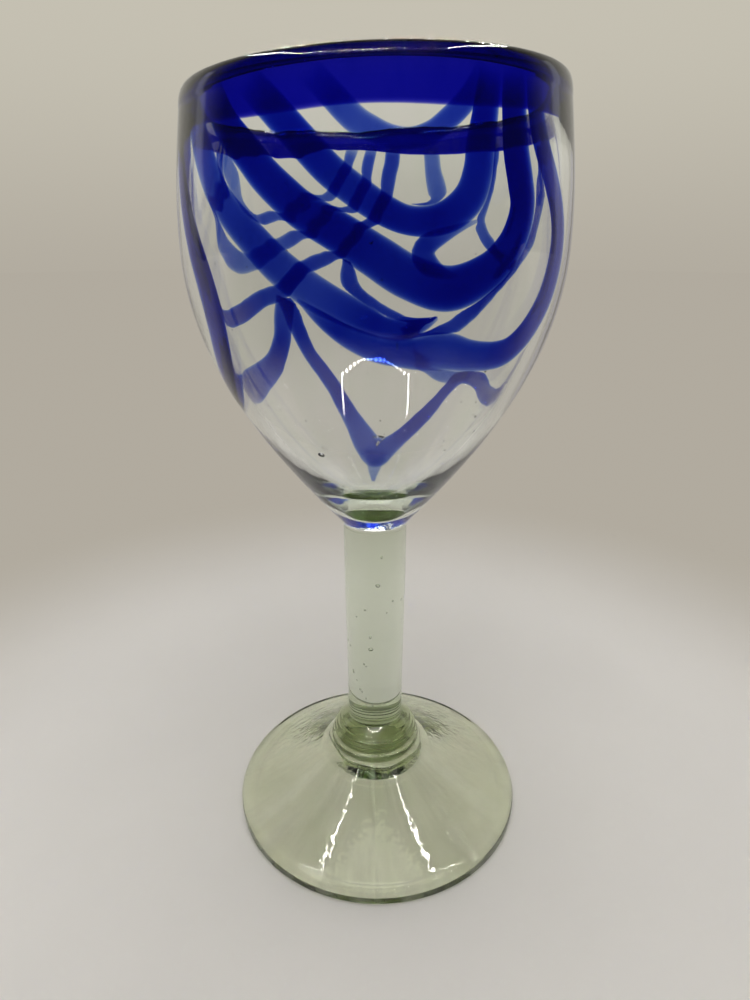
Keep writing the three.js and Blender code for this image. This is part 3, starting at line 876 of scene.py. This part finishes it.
class GOBLET_OT_knop(bpy.types.Operator):
    """Form the knop: a bulb over a thin ring"""

    bl_idname = "goblet.knop"
    bl_label = "Knop"

    def execute(self, context):
        sizes = context.scene.goblet_foot
        glass = context.scene.goblet_glass
        low, high = KNOP_BASE + HAIRLINE, STEM_BASE - HAIRLINE
        ring_round = sizes.ring_height / 2
        ring_centre = KNOP_RADIUS - ring_round
        groove = np.array((sizes.bulb_radius - sizes.groove, low + sizes.ring_height))
        neck = np.array((sizes.stem_lower_radius, high))
        rise = (neck[1] - groove[1]) / 2
        bulb = bezier((groove, (sizes.bulb_radius + sizes.groove, groove[1] + rise / 2),
                       (sizes.bulb_radius, neck[1] - rise), neck), 90)
        climb = (bulb[:, 1] - groove[1]) / (neck[1] - groove[1])
        turns, turn_depth = 6, 0.16 * MM
        bulb[:, 0] += turn_depth * np.sin(climb * 2 * math.pi * turns) * np.clip(4 * (0.8 - climb), 0, 1)
        ring = arc((ring_centre, low + ring_round), ring_round, -90, 80, 16)
        under = level(0, ring_centre, low, 4)
        over = level(neck[0], 0, high, 4)
        profile = np.vstack([under, ring, bulb, over])
        solid = turned(turn_profile(profile, 128, wobble=0.06 * MM, phase=0.7), low, high)
        piece = mesh_object("knop_glass", *solid, flat_ends(low, high))
        material = glass_material(
            "green_knop_glass", glass.ior, glass.knop_tint, glass.knop_density, streak=(0.96, 0.98, 0.94),
            wave=0.08)
        show(piece, material, "green_glass", "knop")
        return {"FINISHED"}


class GOBLET_OT_foot(bpy.types.Operator):
    """Spread the conical foot, hollow below"""

    bl_idname = "goblet.foot"
    bl_label = "Foot"

    def execute(self, context):
        sizes = context.scene.goblet_foot
        glass = context.scene.goblet_glass
        high = KNOP_BASE - HAIRLINE
        reach = FOOT_RADIUS - sizes.shrink
        ceiling = high - sizes.crown
        seat = KNOP_RADIUS - sizes.ring_height / 2
        brim, fringe = 0.4 * MM, 0.9 * MM
        cone_start = (reach - sizes.shoulder - brim, sizes.edge)
        cone = dip(cone_start, (sizes.seat_radius, high - sizes.skirt), sizes.sag, 40)
        step = arc((sizes.seat_radius - sizes.skirt, high - sizes.skirt), sizes.skirt, 0, 90, 7)
        hollow = dip((sizes.hollow_radius, ceiling), (reach - sizes.toe - sizes.rest, 0), sizes.sag, 40)
        toe = arc((reach - sizes.toe, sizes.toe), sizes.toe, -90, 0, 7)
        shoulder = arc((reach - sizes.shoulder, sizes.edge - sizes.shoulder), sizes.shoulder, 0, 90, 12)
        under = level(0, sizes.hollow_radius, ceiling, 6)
        over = np.vstack([(seat, high), level(seat, 0, high, 4)])
        profile = np.vstack([under, hollow, toe, shoulder, cone, step[1:], over])
        rings = turn_profile(profile, 256)
        # The edge is a little off the axis, and the skirt round the seat is ragged.
        out = np.hypot(rings[..., 0], rings[..., 1])
        turn = np.arctan2(rings[..., 0], -rings[..., 1])
        rings[..., 0] += sizes.shift * np.clip((out - seat) / (reach - seat), 0, 1)
        ragged = 0.5 * np.sin(2 * turn + 0.5) + 0.3 * np.sin(3 * turn + 2) + 0.25 * np.sin(7 * turn)
        near_skirt = np.exp(-(((out - sizes.seat_radius) / fringe) ** 2)) * (rings[..., 2] > ceiling + MM)
        rings[..., :2] *= (1 + ragged * near_skirt * fringe / np.maximum(out, MM))[..., None]
        solid = turned(rings, ceiling, high)

        def on_seat(centres):
            return (centres[:, 2] > high - HAIRLINE / 2) & (np.hypot(centres[:, 0], centres[:, 1]) < seat)

        piece = mesh_object("foot_glass", *solid, on_seat)
        material = glass_material(
            "green_foot_glass", glass.ior, glass.foot_tint, glass.foot_density, streak=(0.97, 0.98, 0.96),
            wave=0.22, haze=0.1, grain=560.0)
        show(piece, material, "green_glass", "foot")
        return {"FINISHED"}


class GOBLET_OT_pontil_mark(bpy.types.Operator):
    """Leave the rough scar under the foot"""

    bl_idname = "goblet.pontil_mark"
    bl_label = "Pontil mark"

    def execute(self, context):
        glass = context.scene.goblet_glass
        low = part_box("pontil_mark")[0].z
        closed_gap, rim_round = 0.25 * MM, 0.7 * MM
        chip, chip_room, clean_top = 0.12 * MM, 0.2 * MM, 0.3 * MM
        high = PONTIL_TOP + closed_gap
        sides = 72
        angle = all_round(sides)
        rim = arc((PONTIL_RADIUS - rim_round, (low + high) / 2), rim_round, -90, 90, 9)
        under = level(0, rim[0, 0], low + chip_room, 7)
        over = level(rim[-1, 0], 0, high, 3)
        rings = turn_profile(np.vstack([under, rim, over]), sides)
        random = np.random.default_rng(SEED + 2)
        chipped = random.normal(0, chip, rings.shape[:2])
        rings[..., 2] += chipped * (rings[..., 2] < high - clean_top)
        ragged = 1 + 0.05 * np.sin(3 * angle + 1) + 0.03 * np.sin(7 * angle)
        rings[..., 0] *= ragged
        rings[..., 1] *= ragged
        piece = mesh_object("pontil_scar", *turned(rings, low + chip_room, high))
        material, recipe = new_material("rough_pontil_glass")
        grit = recipe.noise(recipe.place(), scale=900, detail=5.0)
        normal = recipe.node("ShaderNodeBump", None, {"Strength": 0.5, "Distance": 0.2 * MM, "Height": grit})
        base = recipe.blend(grit, colour((0.82, 0.87, 0.72)), colour((0.92, 0.95, 0.84)))
        surface = recipe.glass(base, 0.25 + 0.3 * grit, glass.ior, Normal=normal)
        recipe.node("ShaderNodeOutputMaterial", None, {"Surface": surface})
        show(piece, material, "rough_glass", "pontil_mark")
        return {"FINISHED"}


class GOBLET_OT_stage(bpy.types.Operator):
    """Lay the floor, and set the light and the camera"""

    bl_idname = "goblet.stage"
    bl_label = "Stage"

    def execute(self, context):
        scene = context.scene
        stage = scene.goblet_stage
        light = scene.goblet_light
        self.lay_floor(stage)
        self.light_room(scene, stage, light)
        self.hang_frame(light)
        self.stand_cards(light)
        self.stand_camera(scene, stage)
        scene.view_settings.view_transform = "Standard"
        scene.cycles.max_bounces = 40
        scene.cycles.transmission_bounces = 40
        scene.cycles.glossy_bounces = 16
        scene.cycles.sample_clamp_indirect = 80
        scene.cycles.use_denoising = True
        return {"FINISHED"}

    def lay_floor(self, stage):
        """Lays a round floor just under the foot, which glows as the backdrop does farther out."""
        radii = (0.02, 0.06, 0.12, 0.2, 0.4, 0.8, 1.6, 3.0)
        rows, columns = len(radii), 96
        profile = np.stack([radii, np.zeros(rows)], 1)
        points = turn_profile(profile, columns).reshape(-1, 3)
        points = np.vstack([points, (0, 0, 0)])
        faces = [face[::-1] for face in grid_faces(rows, columns)]
        faces += fan_faces(rows * columns, 0, columns, True)
        floor = mesh_object("floor", points - (0, 0, 2 * HAIRLINE), faces)
        material, recipe = new_material("pale_floor")
        place = recipe.node("ShaderNodeTexCoord", output=3)
        mottle = recipe.noise(place, scale=14, detail=4.0)
        pale = recipe.blend(
            recipe.ramp(mottle, 0.3, 0.7), colour(stage.floor), colour([0.97 * part for part in stage.floor]))
        near = recipe.node("ShaderNodeBsdfDiffuse", None, {"Color": pale})
        towards_camera = 1 - recipe.ramp(recipe.part(place, "Y"), -0.1, 0.2)
        # Painted light: seen through the glass, the far floor is painted brighter and bluer.
        through = colour(np.multiply(stage.backdrop, stage.cast))
        pale_far = recipe.blend(recipe.unseen(), colour(stage.backdrop), through)
        glow = recipe.blend(recipe.mirrored() * towards_camera, pale_far, colour([stage.surround] * 3))
        far = recipe.node("ShaderNodeEmission", None, {"Color": glow, "Strength": 1.0})
        distance = recipe.ramp(recipe.reach(place), 0.11, 0.24)
        surface = recipe.node("ShaderNodeMixShader", None, {0: distance, 1: near, 2: far})
        recipe.node("ShaderNodeOutputMaterial", None, {"Surface": surface})
        floor.data.materials.append(material)

    def light_room(self, scene, stage, light):
        """Puts the pale backdrop all round, darker in what the glass mirrors, and hangs two soft lamps."""
        world = bpy.data.worlds.new("pale_room")
        scene.world = world
        recipe = Recipe(world)
        way = recipe.node("ShaderNodeTexCoord", output="Generated")
        # The backdrop is painted lighter higher up, where light from above falls on it.
        lift = recipe.ramp(recipe.part(way, "Z"), -0.1, 0.25)
        seen = recipe.blend(lift, colour(stage.backdrop), colour(stage.upper))
        # Painted light: seen through the glass, the backdrop is painted brighter and bluer.
        lower, upper = (colour(np.multiply(part, stage.cast)) for part in (stage.backdrop, stage.upper))
        through = recipe.blend(lift, lower, upper)
        towards_camera = 1 - recipe.ramp(recipe.part(way, "Y"), 0.0, 0.7)
        pale = recipe.blend(recipe.unseen(), seen, through)
        room = recipe.blend(recipe.mirrored() * towards_camera, pale, colour([stage.surround] * 3))
        surface = recipe.node("ShaderNodeBackground", None, {"Color": room, "Strength": 1.0})
        recipe.node("ShaderNodeOutputWorld", None, {"Surface": surface})
        self.hang_lamp(scene, "soft_top", size=0.7, energy=light.top_power, place=(0, 0, 0.8), lean=0)
        front = self.hang_lamp(
            scene, "soft_front", size=1.2, energy=light.front_power, place=(0, -0.7, 0.9),
            lean=math.radians(38))
        front.visible_transmission = False

    def hang_lamp(self, scene, name, size, energy, place, lean):
        """Hangs a round soft lamp over the floor, leaning back towards the goblet."""
        lamp = bpy.data.lights.new(name, "AREA")
        lamp.shape = "DISK"
        lamp.size = size
        lamp.energy = energy
        lamp.color = (1.0, 0.98, 0.95)
        holder = bpy.data.objects.new(name, lamp)
        holder.location = place
        holder.rotation_euler = (lean, 0, 0)
        holder.visible_glossy = False
        scene.collection.objects.link(holder)
        return holder

    def hang_frame(self, light):
        """Hangs rows of small bright squares in a frame over the goblet, seen only in the glass."""
        left, right, near, far = light.frame_left, light.frame_right, light.frame_near, light.frame_far
        pitch = 2 * light.column_half
        across = np.arange(left, right, light.row_pitch)
        along = near + pitch * np.arange(round((far - near) / pitch))
        bow = light.frame_bow * (1 - (across / right) ** 2)
        rows = [*zip(across, near - bow), *zip(across, far + bow)]
        columns = [(x, y) for x in (left, right) for y in along]
        self.hang_lights("light_rows", rows, light.frame_height, light.row_half, light.row_level)
        self.hang_lights("light_columns", columns, light.frame_height, light.column_half, light.column_level)

    def hang_lights(self, name, spots, height, half, strength):
        """Hangs a bright square at each spot of a level plane, with half a side."""
        corners = ((-half, -half), (-half, half), (half, half), (half, -half))
        points = np.array([(x + dx, y + dy, height) for x, y in spots for dx, dy in corners])
        faces = [tuple(range(4 * index, 4 * index + 4)) for index in range(len(spots))]
        lights = mesh_object(name, points, faces)
        material, recipe = new_material(name)
        warm = colour((1, 0.98, 0.94))
        glow = recipe.node("ShaderNodeEmission", None, {"Color": warm, "Strength": strength})
        recipe.node("ShaderNodeOutputMaterial", None, {"Surface": glow})
        lights.data.materials.append(material)
        lights.visible_camera = lights.visible_diffuse = lights.visible_transmission = False

    def stand_cards(self, light):
        """Stands a soft white card at each side, seen only in the glass."""
        for name, turn in (("card_left", math.radians(-112)), ("card_right", math.radians(118))):
            material, recipe = new_material(name)
            place = recipe.node("ShaderNodeTexCoord", output=3)
            east, north = recipe.part(place, "X"), recipe.part(place, "Y")
            aside = (east * math.cos(turn) + north * math.sin(turn)) * (1 / light.card_half)
            rise = recipe.ramp(recipe.part(place, "Z"), 0.05, 0.3)
            soft = (1 - recipe.ramp(aside * aside, 0.0, 1.0)) * rise
            white = colour((1, 1, 1))
            glow = recipe.node("ShaderNodeEmission", None, {"Color": white, "Strength": light.card_level})
            clear = recipe.node("ShaderNodeBsdfTransparent")
            surface = recipe.node("ShaderNodeMixShader", None, {0: soft, 1: clear, 2: glow})
            recipe.node("ShaderNodeOutputMaterial", None, {"Surface": surface})
            sides = turn + np.array([-0.12, 0.12])
            points = np.vstack([ring_points(light.card_distance, height, sides) for height in (0.05, 0.55)])
            card = mesh_object(name, points, [(0, 1, 3, 2)])
            card.data.materials.append(material)
            card.visible_camera = card.visible_diffuse = card.visible_transmission = False

    def stand_camera(self, scene, stage):
        """Stands the camera where the photograph was taken from."""
        data = bpy.data.cameras.new("photo_camera")
        data.sensor_width = 36
        data.lens = stage.camera_lens
        camera = bpy.data.objects.new("photo_camera", data)
        camera.location = stage.camera_place
        camera.rotation_euler = (math.pi / 2 - stage.camera_pitch, 0, 0)
        data.clip_start = 5 * MM
        scene.collection.objects.link(camera)
        scene.camera = camera


class GOBLET_PT_panel(bpy.types.Panel):
    """Lists the goblet's pieces and sizes"""

    bl_idname = "GOBLET_PT_panel"
    bl_label = "Goblet"
    bl_space_type = "VIEW_3D"
    bl_region_type = "UI"
    bl_category = "Goblet"

    def draw(self, context):
        for operator in OPERATORS:
            self.layout.operator(operator.bl_idname)
        for name, group in GROUPS.items():
            box = self.layout.box()
            for size in group.__annotations__:
                box.prop(getattr(context.scene, name), size)


GROUPS = {
    "goblet_bowl": GobletBowl,
    "goblet_trails": GobletTrails,
    "goblet_foot": GobletFoot,
    "goblet_glass": GobletGlass,
    "goblet_stage": GobletStage,
    "goblet_light": GobletLight,
}
OPERATORS = (
    GOBLET_OT_stage,
    GOBLET_OT_bowl,
    GOBLET_OT_lip_wrap,
    GOBLET_OT_trails,
    GOBLET_OT_stem,
    GOBLET_OT_knop,
    GOBLET_OT_foot,
    GOBLET_OT_pontil_mark,
)


def register():
    for name, group in GROUPS.items():
        bpy.utils.register_class(group)
        setattr(bpy.types.Scene, name, bpy.props.PointerProperty(type=group))
    for operator in OPERATORS:
        bpy.utils.register_class(operator)
    bpy.utils.register_class(GOBLET_PT_panel)


def unregister():
    bpy.utils.unregister_class(GOBLET_PT_panel)
    for operator in reversed(OPERATORS):
        bpy.utils.unregister_class(operator)
    for name, group in reversed(GROUPS.items()):
        delattr(bpy.types.Scene, name)
        bpy.utils.unregister_class(group)


def main():
    register()
    bpy.ops.goblet.stage()
    bpy.ops.goblet.bowl()
    bpy.ops.goblet.lip_wrap()
    bpy.ops.goblet.trails()
    bpy.ops.goblet.stem()
    bpy.ops.goblet.knop()
    bpy.ops.goblet.foot()
    bpy.ops.goblet.pontil_mark()


if __name__ == "__main__":
    main()
